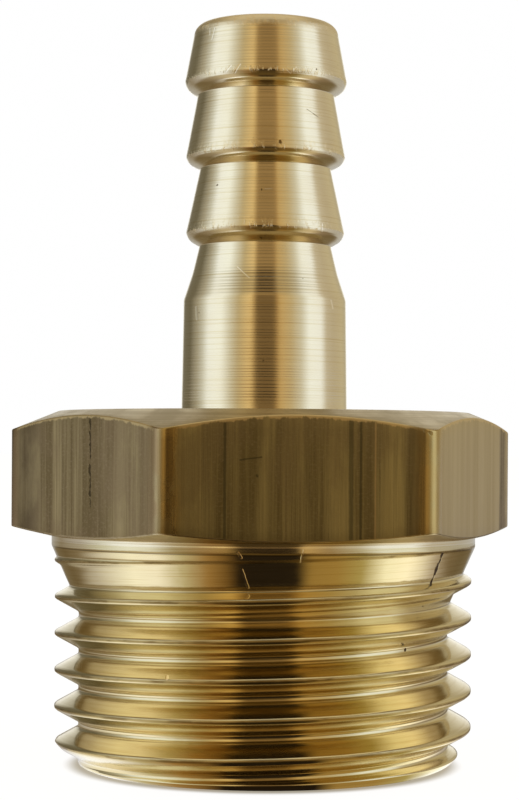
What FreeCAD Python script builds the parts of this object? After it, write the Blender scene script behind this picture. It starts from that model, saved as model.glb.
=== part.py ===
import FreeCAD, Part
import math
import os

# Hose barb tail for a G 1/2 parallel pipe port: one piece, turned from hexagon brass bar.
# The origin is the centre of the threaded end's face, +Z runs up through the hexagon and out
# along the barbs, and one flat of the hexagon faces -Y. All sizes are in millimetres.

# Male thread, G 1/2 right hand, 55 degree Whitworth form
thread_major_diameter = 20.84    # over the crests, within the standard's limits
thread_pitch = 1.814
thread_depth = 1.105
thread_flank_angle = 27.5
thread_root_flat = 0.35
thread_start_height = 1.14      # height of the first groove where it crosses the +X side
groove_overrun = 0.05           # how far the groove's section reaches out of what it cuts
end_face_diameter = 18.2
end_chamfer_angle = 43.0        # from the axis
runout_end_height = 10.94       # where the die stopped cutting
runout_angle = 24.0             # lead of the die, from the axis

# Plain collar under the hexagon, left at the blank's diameter
collar_step = 0.17              # how far it stands out of the thread's crests
collar_bottom_height = 10.0

# Hexagon
hexagon_bottom_height = 11.44
hexagon_height = 6.15
across_flats = 22.0
hexagon_corner_rounding = 0.8
top_face_diameter = 20.5
top_chamfer_angle = 22.0        # from the face
bottom_face_diameter = 21.4
bottom_chamfer_angle = 13.0     # from the face

# Tail: a plain shank, a cone up from it, and the barbs in order from the cone to the tip
shank_diameter = 8.16
shank_length = 5.6
cone_length = 2.7
neck_diameters = (6.6, 6.55, 6.84)
lip_diameters = (7.9, 7.94, 8.09)
barb_pitch = 3.77
nose_rise = 0.34                # from a neck up the barb's blunt underside to its nose
lip_rise = 0.63                 # from a neck up to the widest ring
nose_setback = 0.11             # the nose is this much smaller in radius than the lip
tip_rise = 3.55                 # from the last neck to the tip
tip_diameter = 7.14
tip_bevel_rise = 0.28
tip_bevel_setback = 0.32

# Passage through the piece
tail_bore_diameter = 5.0
port_bore_diameter = 14.0
port_bore_depth = 9.0
drill_point_angle = 59.0        # from the axis
port_bore_chamfer = 0.6
tip_bore_chamfer = 0.25

hexagon_top_height = hexagon_bottom_height + hexagon_height
shank_top_height = hexagon_top_height + shank_length
first_neck_height = shank_top_height + cone_length
tip_height = first_neck_height + barb_pitch * (len(lip_diameters) - 1) + tip_rise
thread_major_radius = thread_major_diameter / 2
thread_root_radius = thread_major_radius - thread_depth
collar_radius = thread_major_radius + collar_step
AXIS = FreeCAD.Vector(0, 0, 1)
ORIGIN = FreeCAD.Vector(0, 0, 0)


def turned(corners):
    """Solid turned about the axis from a half section, given as (radius, height) corners."""
    points = [FreeCAD.Vector(radius, 0, height) for radius, height in corners]
    return Part.Face(Part.makePolygon(points + points[:1])).revolve(ORIGIN, AXIS, 360)


def cone_rise(from_radius, to_radius, angle_from_axis):
    """Height that a cone at this angle needs between two radii."""
    return abs(to_radius - from_radius) / math.tan(math.radians(angle_from_axis))


def tail():
    """Shank, cone and barbs, as the lathe leaves them, down into the hexagon."""
    corners = [
        (0, hexagon_bottom_height),
        (shank_diameter / 2, hexagon_bottom_height),
        (shank_diameter / 2, shank_top_height),
    ]
    neck_height = first_neck_height
    for neck_diameter, lip_diameter in zip(neck_diameters, lip_diameters):
        corners.append((neck_diameter / 2, neck_height))
        corners.append((lip_diameter / 2 - nose_setback, neck_height + nose_rise))
        corners.append((lip_diameter / 2, neck_height + lip_rise))
        neck_height += barb_pitch
    corners.append((tip_diameter / 2, tip_height - tip_bevel_rise))
    corners.append((tip_diameter / 2 - tip_bevel_setback, tip_height))
    corners.append((0, tip_height))
    return turned(corners)


def hexagon():
    """Hexagon bar with softened corners, both ends chamfered in the lathe."""
    corner_radius = across_flats / math.sqrt(3)
    corners = []
    for index in range(7):
        angle = math.radians(60 * index)
        corners.append(FreeCAD.Vector(corner_radius * math.cos(angle), corner_radius * math.sin(angle),
                                      hexagon_bottom_height))
    bar = Part.Face(Part.makePolygon(corners)).extrude(AXIS * hexagon_height)
    upright_edges = [edge for edge in bar.Edges if abs(edge.tangentAt(edge.FirstParameter).z) > 0.9]
    bar = bar.makeFillet(hexagon_corner_rounding, upright_edges)
    bottom_rise = cone_rise(bottom_face_diameter / 2, corner_radius, 90 - bottom_chamfer_angle)
    top_drop = cone_rise(top_face_diameter / 2, corner_radius, 90 - top_chamfer_angle)
    chamfers = turned([
        (0, hexagon_bottom_height),
        (bottom_face_diameter / 2, hexagon_bottom_height),
        (corner_radius, hexagon_bottom_height + bottom_rise),
        (corner_radius, hexagon_top_height - top_drop),
        (top_face_diameter / 2, hexagon_top_height),
        (0, hexagon_top_height),
    ])
    return bar.common(chamfers)


def thread_blank():
    """The turned blank of the threaded end, with its end chamfer and the collar."""
    end_radius = end_face_diameter / 2
    chamfer_height = cone_rise(end_radius, thread_major_radius, end_chamfer_angle)
    return turned([
        (0, 0),
        (end_radius, 0),
        (thread_major_radius, chamfer_height),
        (thread_major_radius, collar_bottom_height),
        (collar_radius, collar_bottom_height + collar_step),
        (collar_radius, hexagon_bottom_height),
        (0, hexagon_bottom_height),
    ])


def groove_turn():
    """One turn of the thread's groove, from the +X side at height 0, open beyond the collar."""
    flank_radius = thread_major_radius + groove_overrun
    outer_radius = flank_radius + collar_step
    root_half = thread_root_flat / 2
    outer_half = root_half + cone_rise(thread_root_radius, flank_radius, 90 - thread_flank_angle)
    section = Part.makePolygon([
        FreeCAD.Vector(thread_root_radius, 0, -root_half),
        FreeCAD.Vector(flank_radius, 0, -outer_half),
        FreeCAD.Vector(outer_radius, 0, -outer_half),
        FreeCAD.Vector(outer_radius, 0, outer_half),
        FreeCAD.Vector(flank_radius, 0, outer_half),
        FreeCAD.Vector(thread_root_radius, 0, root_half),
        FreeCAD.Vector(thread_root_radius, 0, -root_half),
    ])
    helix = Part.makeHelix(thread_pitch, thread_pitch, thread_root_radius)
    return Part.Wire(helix).makePipeShell([section], True, True)


def die_lead():
    """What the cone in the die's mouth can't reach, above the last full thread."""
    inner_radius = thread_root_radius - 1
    outer_radius = collar_radius + 1
    top_height = runout_end_height + cone_rise(collar_radius, outer_radius, runout_angle)
    bottom_height = top_height - cone_rise(inner_radius, outer_radius, runout_angle)
    return turned([
        (0, bottom_height),
        (inner_radius, bottom_height),
        (outer_radius, top_height),
        (outer_radius, hexagon_top_height),
        (0, hexagon_top_height),
    ])


def cut_thread(blank):
    """The blank with its groove cut turn by turn, from below the end face to the run-out."""
    turn = groove_turn()
    lead = die_lead()
    first_height = thread_start_height - 2 * thread_pitch
    turn_count = math.ceil((runout_end_height - first_height) / thread_pitch)
    for number in range(turn_count):
        groove = turn.copy()
        groove.translate(AXIS * (first_height + number * thread_pitch))
        blank = blank.cut(groove.cut(lead))
    return blank


def passage():
    """Drilled port bore with its drill point, and the bore of the tail."""
    tail_radius = tail_bore_diameter / 2
    port_radius = port_bore_diameter / 2
    point_rise = cone_rise(tail_radius, port_radius, drill_point_angle)
    return turned([
        (0, 0),
        (port_radius + port_bore_chamfer, 0),
        (port_radius, port_bore_chamfer),
        (port_radius, port_bore_depth),
        (tail_radius, port_bore_depth + point_rise),
        (tail_radius, tip_height - tip_bore_chamfer),
        (tail_radius + tip_bore_chamfer, tip_height),
        (0, tip_height),
    ])


os.makedirs("parts", exist_ok=True)
blank = thread_blank().fuse([hexagon(), tail()]).removeSplitter()
hose_tail = cut_thread(blank).cut(passage())
print("valid", hose_tail.isValid(), "solids", len(hose_tail.Solids), "volume", round(hose_tail.Volume, 1))
hose_tail.Solids[0].exportStep("parts/hose_tail.step")
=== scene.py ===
import math

import bmesh
import bpy
import numpy as np
from mathutils import Matrix, Vector


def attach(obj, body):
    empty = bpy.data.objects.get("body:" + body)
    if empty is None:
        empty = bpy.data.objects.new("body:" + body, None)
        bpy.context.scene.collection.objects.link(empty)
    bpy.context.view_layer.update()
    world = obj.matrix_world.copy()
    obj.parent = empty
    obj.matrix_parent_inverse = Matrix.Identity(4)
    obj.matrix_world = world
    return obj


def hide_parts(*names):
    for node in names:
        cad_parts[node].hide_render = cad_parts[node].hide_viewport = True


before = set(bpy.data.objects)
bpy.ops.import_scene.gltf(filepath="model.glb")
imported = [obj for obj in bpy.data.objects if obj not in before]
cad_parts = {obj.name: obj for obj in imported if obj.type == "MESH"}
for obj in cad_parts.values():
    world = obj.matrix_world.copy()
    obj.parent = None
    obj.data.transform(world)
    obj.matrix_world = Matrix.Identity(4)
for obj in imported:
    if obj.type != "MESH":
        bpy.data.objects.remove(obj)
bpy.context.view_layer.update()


# Camera. It stands level with the upper part of the hexagon, close to the piece, and a little
# to its left. The picture is framed higher than the eye, and the piece leans slightly right.
def millimetres(value):
    """A length in millimetres as the metres that the scene is in."""
    return value * 0.001


camera_azimuth = math.radians(-8.4)
camera_distance = millimetres(107)
camera_height = millimetres(15.70)
camera_roll = math.radians(0.33)
eye_row_below_centre = 50
axis_column_right_of_centre = 4.4
picture_height = 800
pixels_per_metre = 19910

camera_data = bpy.data.cameras.new("camera")
camera_data.lens = pixels_per_metre * camera_distance * camera_data.sensor_width / picture_height
camera_data.shift_x = -axis_column_right_of_centre / picture_height
camera_data.shift_y = eye_row_below_centre / picture_height
camera_data.clip_start = millimetres(5)
camera_data.clip_end = 20
camera = bpy.data.objects.new("camera", camera_data)
towards_camera = Vector((math.sin(camera_azimuth), -math.cos(camera_azimuth), 0))
camera_right = Vector((math.cos(camera_azimuth), math.sin(camera_azimuth), 0))
turn = Matrix((camera_right, Vector((0, 0, 1)), towards_camera)).transposed().to_4x4()
place = Matrix.Translation(towards_camera * camera_distance + Vector((0, 0, camera_height)))
camera.matrix_world = place @ turn @ Matrix.Rotation(camera_roll, 4, "Z")
bpy.context.scene.collection.objects.link(camera)
bpy.context.scene.camera = camera
bpy.context.scene.view_settings.view_transform = "Standard"


# Room. A warm, dim front with a bright cool panel on each side, dimmer behind the panels and
# white straight behind the piece. The metal mirrors it as upright bands.
def linear(hex_colour):
    """A written sRGB colour such as E8D6A0 as the linear colour that nodes take."""
    written = [int(hex_colour[i:i + 2], 16) / 255 for i in (0, 2, 4)]
    return [c / 12.92 if c <= 0.04045 else ((c + 0.055) / 1.055) ** 2.4 for c in written] + [1.0]


def add_node(tree, kind, inputs=None, **settings):
    """A node with its settings, and its inputs given as values or as the sockets that feed them."""
    node = tree.nodes.new(kind)
    for name, value in settings.items():
        setattr(node, name, value)
    for key, value in (inputs or {}).items():
        if isinstance(value, bpy.types.NodeSocket):
            tree.links.new(value, node.inputs[key])
        else:
            node.inputs[key].default_value = value
    return node


def math_node(tree, operation, *values):
    """The result of one Math node on sockets or numbers."""
    return add_node(tree, "ShaderNodeMath", dict(enumerate(values)), operation=operation).outputs[0]


def between(tree, value, low, high, to_low=0.0, to_high=1.0):
    """The value eased from one range to another, and held outside it."""
    return add_node(tree, "ShaderNodeMapRange", {
        "Value": value, "From Min": low, "From Max": high, "To Min": to_low, "To Max": to_high,
    }, interpolation_type="SMOOTHSTEP").outputs[0]


def mix_colour(tree, share, first, second, blend="MIX"):
    """Two colours, each a socket or written as sRGB, mixed by a share from 0 to 1."""
    pair = [linear(colour) if isinstance(colour, str) else colour for colour in (first, second)]
    return add_node(tree, "ShaderNodeMix", {0: share, 6: pair[0], 7: pair[1]}, data_type="RGBA",
                    blend_type=blend).outputs[2]


def seen_from_camera(tree, vector):
    """A vector's parts to the camera's right and towards the camera, and its height."""
    split = add_node(tree, "ShaderNodeSeparateXYZ", {0: vector}).outputs
    parts = []
    for axis in (camera_right, towards_camera):
        parts.append(math_node(tree, "MULTIPLY_ADD", split[0], axis.x,
                               math_node(tree, "MULTIPLY", split[1], axis.y)))
    return parts[0], parts[1], split[2]


def bearing_ramp(tree, across, forward, bands):
    """The colour of the band that a direction or a point on the floor lies in. Bands are sRGB
    colours at bearings in degrees from the camera's side, positive to the camera's right."""
    bearing = math_node(tree, "ARCTAN2", across, forward)
    share = math_node(tree, "MULTIPLY_ADD", bearing, 1 / (2 * math.pi), 0.5)
    node = add_node(tree, "ShaderNodeValToRGB", {0: share})
    stops = node.color_ramp.elements
    while len(stops) > 1:
        stops.remove(stops[-1])
    for number, (degrees, colour) in enumerate(bands):
        position = degrees / 360 + 0.5
        stop = stops.new(position) if number else stops[0]
        stop.position = position
        stop.color = linear(colour)
    return node.outputs[0]


room_bands = [
    (-180, "FFFFFF"), (-172, "F0F0EC"), (-158, "6A665A"), (-128, "605C50"), (-108, "98968F"),
    (-97, "B8BCC0"), (-86, "E2ECFF"), (-64, "E6F0FF"), (-50, "C4C5C2"), (-37, "ACA084"),
    (-20, "D2BA8C"), (-15, "A68C62"), (-11, "6A563A"), (13, "6A563A"), (17, "94784E"),
    (22, "B89E70"), (38, "B2A486"), (53, "BFBFBA"), (66, "E4EEFF"), (86, "E0E8F8"),
    (97, "B2ACA2"), (112, "AAA294"), (140, "B0A892"), (158, "A29A86"), (172, "F0F0EC"),
    (180, "FFFFFF"),
]
overhead_bands = [
    (-180, "84785F"), (-22, "84785F"), (-12, "1E160E"), (14, "1E160E"), (24, "84785F"),
    (180, "84785F"),
]
overhead_rise = (0.50, 0.75)
front_rise = (0.36, 0.44)
front_nearness = (0.3, 0.7)
front_colour = "8C7450"
backdrop_colour = "E3E3E3"
room_strength = 1.3
softbox_size = 0.60
softbox_power = 0.35
softbox_place = (0, -0.05, 0.42)
softbox_colour = "FFFBF2"

world = bpy.data.worlds.new("studio_room")
bpy.context.scene.world = world
world.use_nodes = True
tree = world.node_tree
tree.nodes.clear()
direction = add_node(tree, "ShaderNodeTexCoord").outputs["Generated"]
across, forward, rise = seen_from_camera(tree, direction)
in_front = math_node(tree, "MULTIPLY", between(tree, rise, *front_rise),
                     between(tree, forward, *front_nearness))
level = mix_colour(tree, in_front, bearing_ramp(tree, across, forward, room_bands), front_colour,
                   "LIGHTEN")
room = mix_colour(tree, between(tree, rise, *overhead_rise), level,
                  bearing_ramp(tree, across, forward, overhead_bands))
by_camera = add_node(tree, "ShaderNodeLightPath").outputs["Is Camera Ray"]
light = add_node(tree, "ShaderNodeBackground", {
    "Color": mix_colour(tree, by_camera, room, backdrop_colour), "Strength": room_strength})
add_node(tree, "ShaderNodeOutputWorld", {"Surface": light.outputs[0]})

top_light_data = bpy.data.lights.new("top_softbox", "AREA")
top_light_data.shape = "DISK"
top_light_data.size = softbox_size
top_light_data.energy = softbox_power
top_light_data.color = linear(softbox_colour)[:3]
top_light = bpy.data.objects.new("top_softbox", top_light_data)
top_light.location = softbox_place
bpy.context.scene.collection.objects.link(top_light)

# Floor. A white table that keeps the piece's soft shadow, with a painted contact shadow at its foot.
# For the metal it glows with painted light and shade: darker before the piece and brighter to its
# sides, as if a table lay between the camera and the lamps' panels, and darker and warmer further out.
floor_size = 12.0
floor_height = millimetres(-0.02)
contact_radius = millimetres(9.1)
contact_fade = millimetres(1.0)
painted_shade_from = millimetres(24)
painted_shade_to = millimetres(32)
painted_shade_share = 0.8
painted_shade_tint = "A08C60"
painted_shade_least = "524020"
far_from = millimetres(60)
far_to = millimetres(100)
painted_contact_shadow = "A8A090"
table_white = "F8F8F8"
matt_colour = "747270"
mirrored_matt_colour = "1C1A18"
mirrored_strength = 1.35
# Painted light and shade that the metal mirrors in the floor, as colours at bearings near the piece
# and far from it.
near_bands = [
    (-180, "A09C90"), (-130, "8C8474"), (-98, "B4B2B6"), (-67, "F2F6FF"), (-52, "EEF0FA"),
    (-38, "B4AE98"), (-26, "927448"), (-17, "6C522C"), (-11, "1C150E"), (16, "1C150E"),
    (22, "8E7442"), (35, "947A46"), (48, "A09462"), (62, "F2F4EE"), (77, "FFFFFF"),
    (98, "ADA5A3"), (130, "8C8474"), (180, "A09C90"),
]
table_bands = [
    (-180, "A8A8A8"), (-138, "7E766A"), (-112, "9E9CA0"), (-92, "C6CDD6"), (-74, "E0EAFF"),
    (-60, "D4DAE8"), (-47, "98907E"), (-30, "8E7658"), (-19, "8A7048"), (-12, "221910"),
    (17, "221910"), (21, "B0966C"), (34, "8E7A60"), (50, "A8A39A"), (64, "D8E0F0"),
    (84, "DCE4F4"), (98, "AEACAE"), (124, "A1A0A2"), (180, "A8A8A8"),
]
bpy.ops.mesh.primitive_plane_add(size=floor_size, location=(0, 0, floor_height))
floor = bpy.context.object
floor.name = "floor"
floor_material = bpy.data.materials.new("white_table")
floor_material.use_nodes = True
tree = floor_material.node_tree
tree.nodes.clear()
path = add_node(tree, "ShaderNodeLightPath").outputs
by_camera = path["Is Camera Ray"]
across, forward, _ = seen_from_camera(tree, add_node(tree, "ShaderNodeTexCoord").outputs["Object"])
from_piece = math_node(tree, "SQRT", math_node(tree, "MULTIPLY_ADD", across, across,
                                               math_node(tree, "MULTIPLY", forward, forward)))
# Painted shade, darker and warmer, on the floor that the metal mirrors, from 24 to 32 mm out and
# beyond.
painted_shade_mask = between(tree, from_piece, painted_shade_from, painted_shade_to, 0.0, painted_shade_share)
painted_shade_bands = mix_colour(tree, painted_shade_mask, bearing_ramp(tree, across, forward, near_bands), painted_shade_tint,
                    "MULTIPLY")
near_colour = mix_colour(tree, painted_shade_mask, painted_shade_bands, painted_shade_least, "LIGHTEN")
painted_reflection_colour = mix_colour(tree, between(tree, from_piece, far_from, far_to), near_colour,
                          bearing_ramp(tree, across, forward, table_bands))
# To the camera the table is white, with a painted contact shadow fading out from 9.1 to 10.1 mm around
# the axis.
white_table = mix_colour(
    tree, between(tree, from_piece, contact_radius, contact_radius + contact_fade),
    painted_contact_shadow, table_white)
# The floor glows for the camera and for reflections only: plain white to the camera, and the painted
# bands of light and shade, 1.35 times as strong, in the metal.
seen = math_node(tree, "MAXIMUM", by_camera,
                 math_node(tree, "MAXIMUM", path["Is Glossy Ray"], path["Is Transmission Ray"]))
glow = add_node(tree, "ShaderNodeEmission", {
    "Color": mix_colour(tree, by_camera, painted_reflection_colour, white_table),
    "Strength": math_node(tree, "MULTIPLY", seen,
                          between(tree, by_camera, 0.0, 1.0, mirrored_strength, 1.0))})
matt = add_node(tree, "ShaderNodeBsdfDiffuse", {
    "Color": mix_colour(tree, by_camera, mirrored_matt_colour, matt_colour)})
both = add_node(tree, "ShaderNodeAddShader", {0: glow.outputs[0], 1: matt.outputs[0]})
add_node(tree, "ShaderNodeOutputMaterial", {"Surface": both.outputs[0]})
floor.data.materials.append(floor_material)

# Columns. Every ring of the piece has its points on the same bearings, closer together at the
# six corners of the hexagon, which lie at 0, 60, 120 ... degrees.
columns = 240
corner_crowding = 0.125
even = np.arange(columns) * 2 * np.pi / columns
bearings = even - corner_crowding * np.sin(6 * even)

# Threaded end. A G 1/2 right-hand thread cut by a die: rounded roots and crests, a run-out that
# climbs into the plain collar, and a chamfer at the end. Its rows follow the helix.
thread_sizes = {
    "Pitch": 1.814, "Groove height": 1.14, "Crest radius": 10.41, "Root radius": 9.22,
    "Root flat": 0.30, "Flank angle": 29.0, "Root rounding": 0.20, "Crest rounding": 0.14,
    "Run-out end": 10.94, "Run-out angle": 24.0, "Run-out rounding": 0.08,
    "Collar radius": 10.585, "Collar bottom": 10.05, "Collar rise": 0.16, "Sheet top": 11.2,
    "End radius": 8.95, "End angle": 43.0, "End rounding": 0.3, "End rounding height": 0.35,
    "Chamfer rounding": 0.12, "Tearing": 0.008, "Burr": 0.02,
}
rows_per_pitch = 24
turns_below = 2
turns_above = 6

# Where the die's burr stands: from its foot to its full height, away from the groove, up from
# the collar's bottom and down from the run-out. Tears keep this far from the end and the run-out.
burr_from_groove = (0.80, 0.90)
burr_up = (9.9, 10.1)
burr_down = (10.95, 10.80)
torn_from_end = 0.3
torn_from_runout = 0.2


def thread_tree():
    """Node tree that makes the threaded end from its sizes in millimetres and degrees."""
    tree = bpy.data.node_groups.new("die_cut_thread", "GeometryNodeTree")
    for name in thread_sizes:
        tree.interface.new_socket(name, in_out="INPUT", socket_type="NodeSocketFloat")
    tree.interface.new_socket("Material", in_out="INPUT", socket_type="NodeSocketMaterial")
    tree.interface.new_socket("Geometry", in_out="OUTPUT", socket_type="NodeSocketGeometry")
    given = tree.nodes.new("NodeGroupInput").outputs

    def maths(operation, *values):
        return math_node(tree, operation, *values)

    def slope(angle):
        return maths("TANGENT", maths("RADIANS", given[angle]))

    def around_axis(radius, height):
        return add_node(tree, "ShaderNodeCombineXYZ", {
            0: maths("MULTIPLY", maths("COSINE", bearing), radius),
            1: maths("MULTIPLY", maths("SINE", bearing), radius),
            2: height,
        }).outputs[0]

    # The sheet's columns go round the axis, and its rows climb with the helix.
    grid = add_node(tree, "GeometryNodeMeshGrid", {
        "Size X": 1.0, "Size Y": 1.0, "Vertices X": columns + 1,
        "Vertices Y": (turns_below + turns_above) * rows_per_pitch + 1,
    })
    spot = add_node(tree, "ShaderNodeSeparateXYZ",
                    {0: add_node(tree, "GeometryNodeInputPosition").outputs[0]}).outputs
    even_turn = maths("MULTIPLY", maths("ADD", spot[0], 0.5), 2 * math.pi)
    ripple = maths("SINE", maths("MULTIPLY", even_turn, 6.0))
    bearing = maths("SUBTRACT", even_turn, maths("MULTIPLY", ripple, corner_crowding))
    row_turn = maths("MULTIPLY", maths("ADD", spot[1], 0.5), float(turns_below + turns_above))
    turns = maths("SUBTRACT", row_turn, float(turns_below))
    turns_up = maths("ADD", maths("DIVIDE", bearing, 2 * math.pi), turns)
    helix_height = maths("MULTIPLY_ADD", turns_up, given["Pitch"], given["Groove height"])
    height = maths("MAXIMUM", maths("MINIMUM", helix_height, given["Sheet top"]), 0.0)

    # The groove: a flat root, straight flanks, and both the root and the crest rounded.
    from_start = maths("ADD", turns, float(turns_below))
    from_groove = maths("MULTIPLY", maths("PINGPONG", from_start, 0.5), given["Pitch"])
    flank_run = maths("SUBTRACT", from_groove, maths("MULTIPLY", given["Root flat"], 0.5))
    flank = maths("ADD", given["Root radius"], maths("DIVIDE", flank_run, slope("Flank angle")))
    rooted = maths("SMOOTH_MAX", flank, given["Root radius"], given["Root rounding"])
    rounded = maths("SMOOTH_MIN", rooted, given["Crest radius"], given["Crest rounding"])

    # The run-out that the die's mouth leaves, and the collar's step above it.
    over_runout = maths("SUBTRACT", height, given["Run-out end"])
    lead = maths("MULTIPLY_ADD", over_runout, slope("Run-out angle"), given["Collar radius"])
    cut = maths("SMOOTH_MAX", rounded, lead, given["Run-out rounding"])
    step = between(tree, height, given["Collar bottom"],
                   maths("ADD", given["Collar bottom"], given["Collar rise"]),
                   given["Crest radius"], given["Collar radius"])
    bounded = maths("MINIMUM", cut, step)

    # Tears along the turns, and a burr on the last crest where it meets the collar.
    tears = add_node(tree, "ShaderNodeTexNoise", {
        "Vector": around_axis(bounded, maths("MULTIPLY", turns_up, 5.0)),
        "Scale": 1.6,
        "Detail": 3.0,
    }).outputs[0]
    torn = maths("MULTIPLY", maths("SUBTRACT", tears, 0.5), maths("MULTIPLY", given["Tearing"], 2.0))
    torn_below = maths("SUBTRACT", given["Run-out end"], torn_from_runout)
    in_thread = maths("MULTIPLY", maths("LESS_THAN", height, torn_below),
                      maths("GREATER_THAN", height, torn_from_end))
    on_crest = between(tree, from_groove, *burr_from_groove)
    on_collar = maths("MULTIPLY", between(tree, height, *burr_up), between(tree, height, *burr_down))
    burred = maths("MULTIPLY_ADD", maths("MULTIPLY", on_crest, on_collar), given["Burr"], bounded)
    rough = maths("MULTIPLY_ADD", torn, in_thread, burred)

    # The end chamfer, rounded over into the end face.
    risen = maths("DIVIDE", height, given["End rounding height"])
    falling = maths("MAXIMUM", maths("SUBTRACT", 1.0, risen), 0.0)
    chamfer = maths("MULTIPLY_ADD", height, slope("End angle"),
                    maths("ADD", given["End radius"], given["End rounding"]))
    rounding = maths("MULTIPLY", maths("MULTIPLY", falling, falling), given["End rounding"])
    radius = maths("SMOOTH_MIN", rough, maths("SUBTRACT", chamfer, rounding),
                   given["Chamfer rounding"])

    position = add_node(tree, "ShaderNodeVectorMath", {
        0: around_axis(radius, height), "Scale": millimetres(1)}, operation="SCALE").outputs[0]
    placed = add_node(tree, "GeometryNodeSetPosition", {
        "Geometry": grid.outputs[0], "Position": position})
    merged = add_node(tree, "GeometryNodeMergeByDistance", {
        "Geometry": placed.outputs[0], "Distance": millimetres(0.002)})
    real = add_node(tree, "GeometryNodeRealizeInstances", {"Geometry": merged.outputs[0]})
    finish = add_node(tree, "GeometryNodeSetMaterial", {
        "Geometry": real.outputs[0], "Material": given["Material"]})
    add_node(tree, "NodeGroupOutput", {"Geometry": finish.outputs[0]})
    return tree


def mesh_from_tree(tree, values, name):
    """The plain mesh that a node tree makes, with its inputs set by name."""
    host = bpy.data.objects.new(name, bpy.data.meshes.new(name))
    bpy.context.scene.collection.objects.link(host)
    modifier = host.modifiers.new("nodes", "NODES")
    modifier.node_group = tree
    for item in tree.interface.items_tree:
        if item.in_out == "INPUT":
            modifier[item.identifier] = values[item.name]
    bpy.context.view_layer.update()
    evaluated = host.evaluated_get(bpy.context.evaluated_depsgraph_get())
    mesh = bpy.data.meshes.new_from_object(evaluated)
    bpy.data.objects.remove(host)
    return mesh


# Collar, hexagon, tail and bores: one run of rings, from the collar up over the hexagon, up the
# tail to the tip, then down through both bores and out along the end face.
across_flats = 22.0
corner_rounding = 0.8
hexagon_bottom = 11.44
hexagon_top = 17.59
top_face_radius = 10.25
top_chamfer = math.tan(math.radians(22.0))
bottom_face_radius = 10.7
bottom_chamfer = math.tan(math.radians(13.0))
shank_radius_top = 4.065
shank_radius_bottom = 4.15
shank_top = 23.19
cone_middle_rise = 1.35
cone_hollow = 0.06
lip_setback = 0.09
tip_height = 36.98
tip_radius = 3.57
tip_bevel_rise = 0.28
tip_bevel_setback = 0.30
tail_bore_radius = 2.5
tail_bore_chamfer = 0.25
port_bore_radius = 7.0
port_bore_depth = 9.0
port_bore_chamfer = 0.6
drill_point = math.tan(math.radians(59.0))

# Each barb's neck radius and height, the rises from there to its nose and its lip, and the
# lip's radius.
barbs = (
    (3.30, 25.89, 0.34, 0.69, 3.965),
    (3.275, 29.76, 0.30, 0.62, 3.985),
    (3.42, 33.43, 0.34, 0.70, 4.055),
)

# The surfaces, in the order of their finishes in the last section.
surfaces = ("thread", "turned", "flats", "chamfers", "bores")


def hexagon_radius():
    """Distance from the axis to the hexagon's side on each column, with rounded corners."""
    from_corner = np.abs((bearings + np.pi / 6) % (np.pi / 3) - np.pi / 6)
    flat = across_flats / 2 / np.cos(np.pi / 6 - from_corner)
    centre = (across_flats / 2 - corner_rounding) / math.cos(math.pi / 6)
    inside = np.maximum(corner_rounding ** 2 - (centre * np.sin(from_corner)) ** 2, 0)
    arc = centre * np.cos(from_corner) + np.sqrt(inside)
    tangent = math.atan2(corner_rounding * 0.5, centre + corner_rounding * math.cos(math.pi / 6))
    return np.where(from_corner < tangent, arc, flat)


def body_corners():
    """The path's corners, each a radius and height, the length its rounding takes on both
    sides, the rows up to it and the surface there."""
    side = hexagon_radius()
    cone_middle_radius = (shank_radius_top + barbs[0][0]) / 2 - cone_hollow
    corners = [
        (thread_sizes["Collar radius"], thread_sizes["Sheet top"], 0, 1, "turned"),
        (thread_sizes["Collar radius"], hexagon_bottom, 0.03, 2, "turned"),
        (bottom_face_radius, hexagon_bottom, 0.02, 1, "turned"),
        (side, hexagon_bottom + (side - bottom_face_radius) * bottom_chamfer, 0.07, 3, "chamfers"),
        (side, hexagon_top - (side - top_face_radius) * top_chamfer, 0.07, 10, "flats"),
        (top_face_radius, hexagon_top, 0.06, 3, "chamfers"),
        (shank_radius_bottom, hexagon_top, 0.12, 10, "chamfers"),
        (shank_radius_top, shank_top, 0.10, 12, "turned"),
        (cone_middle_radius, shank_top + cone_middle_rise, 0.3, 5, "turned"),
    ]
    for neck_radius, neck_height, nose_rise, lip_rise, lip_radius in barbs:
        corners += [
            (neck_radius, neck_height, 0.05, 6, "turned"),
            (lip_radius - lip_setback, neck_height + nose_rise, 0.26, 3, "turned"),
            (lip_radius, neck_height + lip_rise, 0.05, 2, "turned"),
        ]
    drill_point_height = port_bore_depth + (port_bore_radius - tail_bore_radius) / drill_point
    corners += [
        (tip_radius, tip_height - tip_bevel_rise, 0.18, 12, "turned"),
        (tip_radius - tip_bevel_setback, tip_height, 0.18, 2, "turned"),
        (tail_bore_radius + tail_bore_chamfer, tip_height, 0.05, 3, "turned"),
        (tail_bore_radius, tip_height - tail_bore_chamfer, 0.04, 2, "bores"),
        (tail_bore_radius, drill_point_height, 0.05, 16, "bores"),
        (port_bore_radius, port_bore_depth, 0.08, 6, "bores"),
        (port_bore_radius, port_bore_chamfer, 0.08, 10, "bores"),
        (port_bore_radius + port_bore_chamfer, 0, 0.05, 2, "bores"),
        (thread_sizes["End radius"], 0, 0, 4, "turned"),
    ]
    return corners


def rings_along(corners):
    """Rings, each a radius and height on every column, and each one's surface."""
    def around(value):
        return np.broadcast_to(np.asarray(value, float), (columns,))

    points = [np.array([around(corner[0]), around(corner[1])]) for corner in corners]
    rings = []
    for number, (_, _, softness, rows, surface) in enumerate(corners):
        here = points[number]
        before, after = here, here
        if softness:
            to_last = points[number - 1] - here
            to_next = points[number + 1] - here
            before = here + to_last / np.linalg.norm(to_last, axis=0) * softness
            after = here + to_next / np.linalg.norm(to_next, axis=0) * softness
        if number:
            rings += [(start + (before - start) * row / rows, surface) for row in range(1, rows)]
        for share in (0, 0.25, 0.5, 0.75, 1) if softness else (0,):
            curve = before * (1 - share) ** 2 + here * 2 * share * (1 - share) + after * share ** 2
            rings.append((curve, surface))
        start = after
    return rings


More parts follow.
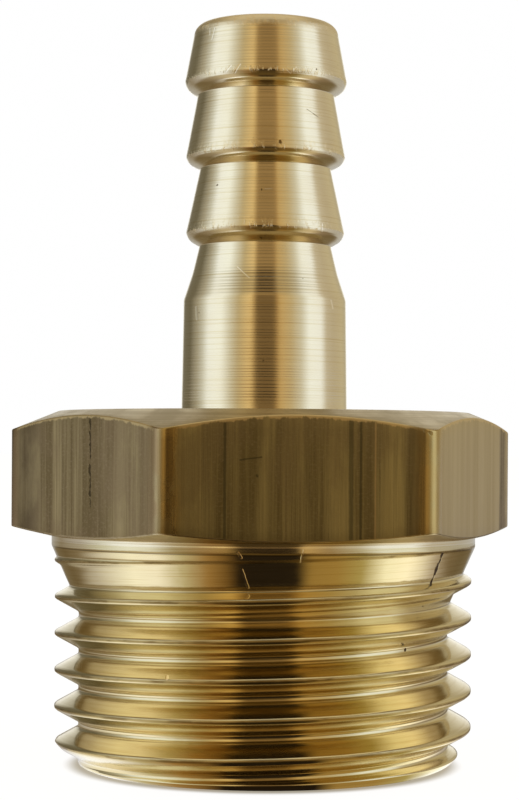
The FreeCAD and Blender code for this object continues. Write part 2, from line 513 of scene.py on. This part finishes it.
def body_mesh(rings):
    """One mesh of the rings, with each face's surface as its material number."""
    mesh = bmesh.new()
    rows = []
    for (radii, heights), _ in rings:
        rows.append([mesh.verts.new((millimetres(radius * math.cos(bearing)),
                                     millimetres(radius * math.sin(bearing)), millimetres(height)))
                     for radius, height, bearing in zip(radii, heights, bearings)])
    for lower, upper, (_, surface) in zip(rows[:-1], rows[1:], rings[1:]):
        for column in range(columns):
            beyond = (column + 1) % columns
            face = mesh.faces.new((lower[column], lower[beyond], upper[beyond], upper[column]))
            face.material_index = surfaces.index(surface)
    return mesh


# Brass surfaces. All are the same yellow brass, told apart by how each was cut: bright fine
# turning lines, torn thread flanks and dull drawn flats, and drilled walls darkened with painted
# shade.
def noise(tree, place, scale, detail=2.0, roughness=0.5, distortion=0.0):
    """Noise from 0 to 1 with its own scale along each axis, in cycles per millimetre."""
    stretched = add_node(tree, "ShaderNodeVectorMath", {0: place, 1: scale},
                         operation="MULTIPLY").outputs[0]
    return add_node(tree, "ShaderNodeTexNoise", {
        "Vector": stretched, "Scale": 1.0, "Detail": detail, "Roughness": roughness,
        "Distortion": distortion}).outputs[0]


def brass_tree(name):
    """An empty brass material: its tree, its shader node and the place on the piece in mm."""
    material = bpy.data.materials.new(name)
    material.use_nodes = True
    tree = material.node_tree
    shader = tree.nodes["Principled BSDF"]
    shader.inputs["Metallic"].default_value = 1.0
    where = add_node(tree, "ShaderNodeTexCoord").outputs["Object"]
    place = add_node(tree, "ShaderNodeVectorMath", {0: where, 1: (1000, 1000, 1000)},
                     operation="MULTIPLY").outputs[0]
    return material, tree, shader, place


def set_surface(tree, shader, colour, roughness, height, depth):
    """Feeds the shader, with the height as a bump of this depth in millimetres."""
    bump = add_node(tree, "ShaderNodeBump", {"Height": height, "Distance": millimetres(depth),
                                             "Strength": 1.0})
    tree.links.new(colour, shader.inputs["Base Color"])
    tree.links.new(roughness, shader.inputs["Roughness"])
    tree.links.new(bump.outputs[0], shader.inputs["Normal"])


def from_axis(tree, split):
    """Distance from the turning axis to the place whose parts these are."""
    level = add_node(tree, "ShaderNodeCombineXYZ", {0: split[0], 1: split[1]}).outputs[0]
    return add_node(tree, "ShaderNodeVectorMath", {0: level}, operation="LENGTH").outputs["Value"]


def strokes(tree, place, ragged, lines):
    """1 on short lines on the camera's side of the piece, 0 elsewhere. Each is its two ends, as
    millimetres across and up, and its half width. Ragged lines wander and break up."""
    across, forward, height = seen_from_camera(tree, place)
    seen_flat = add_node(tree, "ShaderNodeCombineXYZ", {0: across, 2: height}).outputs[0]
    off_centre = math_node(tree, "SUBTRACT", noise(tree, place, (3, 3, 3), 3.0), 0.5)
    wander = math_node(tree, "MULTIPLY", off_centre, ragged)
    total = 0.0
    for start, end, half_width in lines:
        run = Vector((end[0] - start[0], 0, end[1] - start[1]))
        from_start = add_node(tree, "ShaderNodeVectorMath", {
            0: seen_flat, 1: (start[0], 0, start[1])}, operation="SUBTRACT").outputs[0]
        along = add_node(tree, "ShaderNodeVectorMath", {
            0: from_start, 1: run / run.length_squared}, operation="DOT_PRODUCT").outputs["Value"]
        share = math_node(tree, "MINIMUM", math_node(tree, "MAXIMUM", along, 0.0), 1.0)
        nearest = add_node(tree, "ShaderNodeVectorMath", {0: run, "Scale": share},
                           operation="SCALE").outputs[0]
        gap = add_node(tree, "ShaderNodeVectorMath", {0: from_start, 1: nearest},
                       operation="DISTANCE").outputs["Value"]
        stroke = between(tree, math_node(tree, "ADD", gap, wander), half_width, half_width * 0.4)
        total = math_node(tree, "MAXIMUM", stroke, total)
    return math_node(tree, "MULTIPLY", total, math_node(tree, "GREATER_THAN", forward, 0.0))


def turned_brass():
    """Bright lathe-turned brass: fine rings that catch the light, with faint warm tarnish and
    torn, brighter flecks along the lips of the barbs."""
    material, tree, shader, place = brass_tree("turned_brass")
    height = add_node(tree, "ShaderNodeSeparateXYZ", {0: place}).outputs[2]
    rings_per_mm = 6.4

    # The rings that the tool's feed leaves, uneven where it chattered.
    drift = noise(tree, place, (0.02, 0.02, 1.6), 3.0, 0.6)
    phase = math_node(tree, "MULTIPLY_ADD", height, 2 * math.pi * rings_per_mm,
                      math_node(tree, "MULTIPLY", drift, 14.0))
    feed = math_node(tree, "MULTIPLY_ADD", math_node(tree, "SINE", phase), 0.5, 0.5)
    fine = noise(tree, place, (0.04, 0.04, 9.0), 2.0, 0.6)
    rings = math_node(tree, "MULTIPLY_ADD", feed, 0.9, fine)

    # Faint tarnish, a duller tip, specks, and the torn lips of the barbs.
    cloud = noise(tree, place, (0.35, 0.35, 0.5), 3.0)
    lined = mix_colour(tree, between(tree, fine, 0.28, 0.50), "E2D0A4", "F0E3C0")
    base = mix_colour(tree, between(tree, cloud, 0.35, 0.75, 0.0, 0.4), lined, "ECDAB0")
    rim = between(tree, height, 36.2, 36.7, 0.0, 0.6)
    speck = between(tree, noise(tree, place, (2.4, 2.4, 2.4), 1.0), 0.80, 0.83)
    specked = mix_colour(tree, speck, mix_colour(tree, rim, base, "F2DEB0"), "5C4A2A")
    lip = add_node(tree, "ShaderNodeAttribute", attribute_name="lip").outputs["Fac"]
    tearing = noise(tree, place, (5.0, 5.0, 2.2), 3.0, 0.7, 0.4)
    fleck = math_node(tree, "MULTIPLY", lip, between(tree, tearing, 0.53, 0.60))
    flecked = mix_colour(tree, fleck, specked, "FBE6B4")

    # Dark pits and bright nicks from handling.
    pits = strokes(tree, place, 0.05, [
        ((0.69, 30.66), (0.70, 30.60), 0.09),
        ((2.01, 32.35), (2.56, 32.03), 0.02),
    ])
    nicks = strokes(tree, place, 0.04, [
        ((-0.02, 28.40), (0.32, 28.42), 0.04),
        ((2.78, 26.78), (2.79, 26.43), 0.04),
        ((3.25, 23.06), (3.35, 22.67), 0.05),
        ((-3.38, 22.68), (-3.32, 22.08), 0.06),
        ((-1.36, 24.60), (-0.77, 24.05), 0.03),
        ((-1.96, 34.06), (-1.71, 34.33), 0.04),
        ((-1.53, 33.97), (-1.26, 34.38), 0.04),
        ((0.97, 34.15), (1.20, 33.97), 0.03),
        ((1.20, 33.97), (1.47, 34.24), 0.03),
        ((-2.75, 36.39), (-2.75, 36.07), 0.04),
        ((-2.51, 36.39), (-2.65, 35.80), 0.03),
    ])
    colour = mix_colour(tree, nicks, mix_colour(tree, pits, flecked, "7E683E"), "FFF4D6")
    dulled = math_node(tree, "MULTIPLY_ADD", rim, 0.4, math_node(tree, "MULTIPLY", fleck, 0.2))
    polish = math_node(tree, "MULTIPLY", between(tree, cloud, 0.3, 0.7, 0.13, 0.18),
                       between(tree, height, 11.5, 12.5, 0.6, 1.0))
    roughness = math_node(tree, "ADD", polish, dulled)
    dents = math_node(tree, "MULTIPLY", math_node(tree, "ADD", pits, nicks), -1.5)
    relief = math_node(tree, "MULTIPLY_ADD", fleck, 3.5, math_node(tree, "ADD", dents, rings))
    set_surface(tree, shader, colour, roughness, relief, 0.0022)
    return material


def chamfered_brass():
    """Faced and chamfered ends of the hexagon: coarser rings, dulled to a greyish tan."""
    material, tree, shader, place = brass_tree("chamfered_brass")
    split = add_node(tree, "ShaderNodeSeparateXYZ", {0: place}).outputs
    ringed = add_node(tree, "ShaderNodeCombineXYZ", {
        0: math_node(tree, "MULTIPLY", split[0], 0.1),
        1: math_node(tree, "MULTIPLY", split[1], 0.1),
        2: from_axis(tree, split),
    }).outputs[0]
    rings = noise(tree, ringed, (1.0, 1.0, 5.0), 3.0, 0.6)
    cloud = noise(tree, place, (0.5, 0.5, 0.5), 4.0, 0.6)
    lined = mix_colour(tree, between(tree, rings, 0.36, 0.64), "B8A67E", "D0C09A")
    colour = mix_colour(tree, between(tree, cloud, 0.42, 0.66, 0.0, 0.6), lined, "A69670")
    roughness = between(tree, cloud, 0.3, 0.7, 0.30, 0.40)
    set_surface(tree, shader, colour, roughness, rings, 0.004)
    return material


def die_cut_brass():
    """Brass cut by a thread die: golden flanks with drag lines, and duller crests torn in places."""
    material, tree, shader, place = brass_tree("die_cut_brass")
    groove = add_node(tree, "ShaderNodeAttribute", attribute_name="from_groove").outputs["Fac"]
    split = add_node(tree, "ShaderNodeSeparateXYZ", {0: place}).outputs

    # Drag lines along the flanks, and crests that are duller and torn in places.
    along = add_node(tree, "ShaderNodeCombineXYZ", {0: split[0], 1: split[1], 2: groove}).outputs[0]
    drag = noise(tree, along, (0.12, 0.12, 11.0), 3.0, 0.6)
    torn = noise(tree, place, (0.5, 0.5, 3.0), 4.0, 0.65)
    lined = mix_colour(tree, between(tree, drag, 0.30, 0.55), "D6C28C", "E4D5A8")
    crest = between(tree, groove, burr_from_groove[0], burr_from_groove[0] + 0.08)
    worn = math_node(tree, "MULTIPLY", crest, between(tree, torn, 0.46, 0.62, 0.0, 0.7))
    golden_crest = mix_colour(tree, math_node(tree, "MULTIPLY", crest, 0.8), lined, "B49A5C")
    dulled = mix_colour(tree, worn, golden_crest, "7A6238")

    # The dark ring where the die stopped, the crack and pits on the right, and bright nicks.
    off_stop = math_node(tree, "ABSOLUTE", math_node(
        tree, "SUBTRACT", split[2], thread_sizes["Run-out end"] - 0.03))
    stop_ring = between(tree, off_stop, 0.045, 0.015, 0.0, 0.5)
    cracks = strokes(tree, place, 0.24, [
        ((8.51, 10.86), (8.18, 10.02), 0.08),
        ((8.18, 10.02), (7.92, 9.34), 0.07),
        ((7.62, 8.29), (7.64, 8.25), 0.06),
        ((6.72, 6.30), (6.73, 6.26), 0.05),
    ])
    nicks = strokes(tree, place, 0.08, [
        ((-0.96, 10.25), (-0.69, 9.41), 0.07),
        ((-1.15, 11.04), (-1.01, 10.81), 0.08),
        ((1.82, 11.20), (1.71, 10.62), 0.05),
        ((-4.38, 5.26), (-4.36, 5.18), 0.09),
    ])
    stopped = mix_colour(tree, math_node(tree, "MAXIMUM", cracks, stop_ring), dulled, "4A3820")
    colour = mix_colour(tree, nicks, stopped, "FFF0CC")
    roughness = math_node(tree, "MULTIPLY_ADD", crest, 0.22,
                          between(tree, torn, 0.3, 0.7, 0.10, 0.15))
    marks = math_node(tree, "MULTIPLY", math_node(tree, "ADD", cracks, nicks), 8.0)
    sunk = math_node(tree, "ADD", math_node(tree, "ADD", worn, stop_ring), marks)
    relief = math_node(tree, "MULTIPLY_ADD", sunk, -2.0, drag)
    set_surface(tree, shader, colour, roughness, relief, 0.0006)
    return material


def drawn_brass():
    """Hexagon bar as drawn: dull, brown with tarnish, streaked along the bar by the drawing die."""
    material, tree, shader, place = brass_tree("drawn_brass")
    split = add_node(tree, "ShaderNodeSeparateXYZ", {0: place}).outputs
    across, forward, _ = seen_from_camera(tree, place)

    # Brown and tan streaks, clouded, with thin dark lines and a dusty grain.
    streaks = noise(tree, place, (0.8, 0.8, 0.02), 5.0, 0.7)
    thin = noise(tree, place, (5.0, 5.0, 0.12), 3.0, 0.7)
    cloud = noise(tree, place, (0.35, 0.35, 0.2), 5.0, 0.65)
    grain = noise(tree, place, (5.0, 5.0, 9.0), 4.0, 0.7)
    brown = mix_colour(tree, between(tree, streaks, 0.38, 0.60), "85724C", "BCA87A")
    warm = mix_colour(tree, between(tree, cloud, 0.42, 0.62, 0.0, 0.6), brown, "9A8462")
    lined = mix_colour(tree, between(tree, thin, 0.56, 0.76, 0.0, 0.4), warm, "605238")
    dull = mix_colour(tree, between(tree, grain, 0.48, 0.68, 0.0, 0.35), lined, "B4A07A")

    # Scores along the bar, and a scratch and a pit on the front flat.
    dark_lines = strokes(tree, place, 0.06, [
        ((3.95, 17.2), (3.97, 11.6), 0.14),
        ((4.40, 17.2), (4.40, 11.6), 0.07),
        ((-1.75, 17.2), (-1.75, 11.6), 0.09),
        ((-1.07, 15.25), (-0.10, 15.38), 0.05),
        ((-0.31, 14.55), (-0.29, 14.52), 0.08),
    ])
    pale_lines = strokes(tree, place, 0.02, [
        ((5.07, 17.2), (5.07, 11.6), 0.05),
        ((-6.2, 17.03), (-6.0, 16.98), 0.07),
    ])
    drawn = mix_colour(tree, math_node(tree, "MULTIPLY", dark_lines, 0.6), dull, "4E4832")
    lightened = mix_colour(tree, math_node(tree, "MULTIPLY", pale_lines, 0.7), drawn, "D0AE80")

    # Painted light on the right flat, which is made lighter, a greener front flat, a darker far left
    # that is painted shade clouded with tarnish, and a pitted seam.
    right_flat_painted_light = math_node(tree, "MULTIPLY", between(tree, across, 7.3, 8.0, 0.0, 0.75),
                        math_node(tree, "GREATER_THAN", forward, 0.0))
    right_flat_lit = mix_colour(tree, right_flat_painted_light, lightened, "D2BC88")
    front = between(tree, split[1], -10.6, -10.9)
    greened = mix_colour(tree, front, right_flat_lit, "F6FFF8", "MULTIPLY")
    # Painted shade on the far left of the left flat, clouded with tarnish.
    far_left = math_node(tree, "MULTIPLY", between(tree, across, -10.3, -11.6),
                         between(tree, cloud, 0.3, 0.6, 0.35, 0.7))
    far_left_shade_and_tarnish = mix_colour(tree, far_left, greened, "5A4A30")
    pitting = strokes(tree, place, 0.30, [
        ((-8.13, 17.34), (-8.11, 12.99), 0.05),
        ((7.35, 16.62), (7.60, 16.50), 0.09),
    ])
    marked = mix_colour(tree, pitting, far_left_shade_and_tarnish, "54462C")

    # A painted highlight along the top chamfer's jagged edge, the rubbed corners with a painted
    # highlight on them, and tarnish beside the right one.
    reach = from_axis(tree, split)
    chamfer_edge = math_node(tree, "MULTIPLY_ADD", math_node(tree, "SUBTRACT", reach, top_face_radius),
                             -top_chamfer, hexagon_top)
    to_edge = math_node(tree, "SUBTRACT", chamfer_edge, split[2])
    jagged = math_node(tree, "MULTIPLY_ADD", noise(tree, place, (2.2, 2.2, 1.0), 3.0, 0.7), -0.45,
                       to_edge)
    edge_highlighted = mix_colour(tree, between(tree, jagged, -0.06, -0.16, 0.0, 0.85), marked, "E0C68E")
    # Rubbed corners with a painted highlight, dimmer on the left corner than on the right.
    rubbing = between(tree, noise(tree, place, (1.5, 1.5, 0.8), 3.0), 0.3, 0.55, 0.45, 1.0)
    rubbed_and_highlight = math_node(tree, "MULTIPLY", between(tree, reach, 12.15, 12.45), rubbing)
    rubbed_and_highlight_colour = mix_colour(tree, between(tree, across, -4.9, -4.3), "98805A", "BCA266")
    beside_corner = math_node(tree, "MULTIPLY", between(tree, across, 6.3, 7.1, 0.0, 0.6),
                              between(tree, across, 7.45, 7.3))
    colour = mix_colour(tree, beside_corner, mix_colour(tree, rubbed_and_highlight, edge_highlighted, rubbed_and_highlight_colour), "5A4A30")

    roughness = math_node(tree, "MULTIPLY", between(tree, streaks, 0.3, 0.7, 0.44, 0.34),
                          between(tree, rubbed_and_highlight, 0.0, 1.0, 1.0, 0.6))
    scored = math_node(tree, "MULTIPLY_ADD", thin, 0.5, math_node(tree, "MULTIPLY", grain, 0.2))
    pitted = math_node(tree, "MULTIPLY_ADD", pitting, -0.8, scored)
    set_surface(tree, shader, colour, roughness, math_node(tree, "ADD", streaks, pitted), 0.012)
    return material


def drilled_brass():
    """Walls of the drilled bores: coarse rings, darkened all over as painted shade inside the bores.
    """
    material, tree, shader, place = brass_tree("drilled_brass")
    rings = noise(tree, place, (0.2, 0.2, 5.0), 3.0)
    cloud = noise(tree, place, (0.5, 0.5, 0.3), 3.0)
    lined = mix_colour(tree, between(tree, rings, 0.35, 0.65), "8E7442", "C4A868")
    colour = mix_colour(tree, between(tree, cloud, 0.4, 0.7, 0.0, 0.5), lined, "6A5630")
    roughness = between(tree, cloud, 0.3, 0.7, 0.28, 0.42)
    set_surface(tree, shader, colour, roughness, rings, 0.012)
    return material


# The whole piece. It is one closed skin, as the real one is cut from one bar: the thread's rows
# meet the body's rings at the collar and at the end face, and share their points there.
finishes = [die_cut_brass(), turned_brass(), drawn_brass(), chamfered_brass(), drilled_brass()]
thread = mesh_from_tree(thread_tree(), {**thread_sizes, "Material": finishes[0]}, "die_cut_thread")
thread.polygons.foreach_set("material_index", np.zeros(len(thread.polygons), np.int32))
whole = body_mesh(rings_along(body_corners()))
whole.from_mesh(thread)
bmesh.ops.remove_doubles(whole, verts=whole.verts, dist=millimetres(0.003))
bmesh.ops.recalc_face_normals(whole, faces=whole.faces)
mesh = bpy.data.meshes.new("hose_tail_brass")
whole.to_mesh(mesh)
whole.free()
bpy.data.meshes.remove(thread)
for finish in finishes:
    mesh.materials.append(finish)
mesh.shade_smooth()

# Torn rings: each barb's lip and the tip's rim, as a height, a reach up and down, and the
# least radius. They and the distance from the groove colour the brass.
torn_rings = [(low + rise - 0.02, 0.13, radius - 0.25) for _, low, _, rise, radius in barbs]
torn_rings.append((tip_height - 0.34, 0.26, 3.3))
pitch = thread_sizes["Pitch"]
spots = np.array([point.co for point in mesh.vertices]) / millimetres(1)
spot_radii = np.hypot(spots[:, 0], spots[:, 1])
spot_turns = np.arctan2(spots[:, 1], spots[:, 0]) / (2 * np.pi)
turns = (spots[:, 2] - thread_sizes["Groove height"]) / pitch - spot_turns
from_groove = np.abs(turns - np.round(turns)) * pitch
lip = np.zeros(len(spots))
for height, reach, least_radius in torn_rings:
    near = np.clip(1 - np.abs(spots[:, 2] - height) / reach, 0, 1)
    lip = np.maximum(lip, near * (spot_radii > least_radius))
for name, values in (("lip", lip), ("from_groove", from_groove)):
    attribute = mesh.attributes.new(name, "FLOAT", "POINT")
    attribute.data.foreach_set("value", values.astype(np.float32))

piece = bpy.data.objects.new("hose_tail_brass", mesh)
bpy.context.scene.collection.objects.link(piece)
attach(piece, "root")
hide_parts("hose_tail")
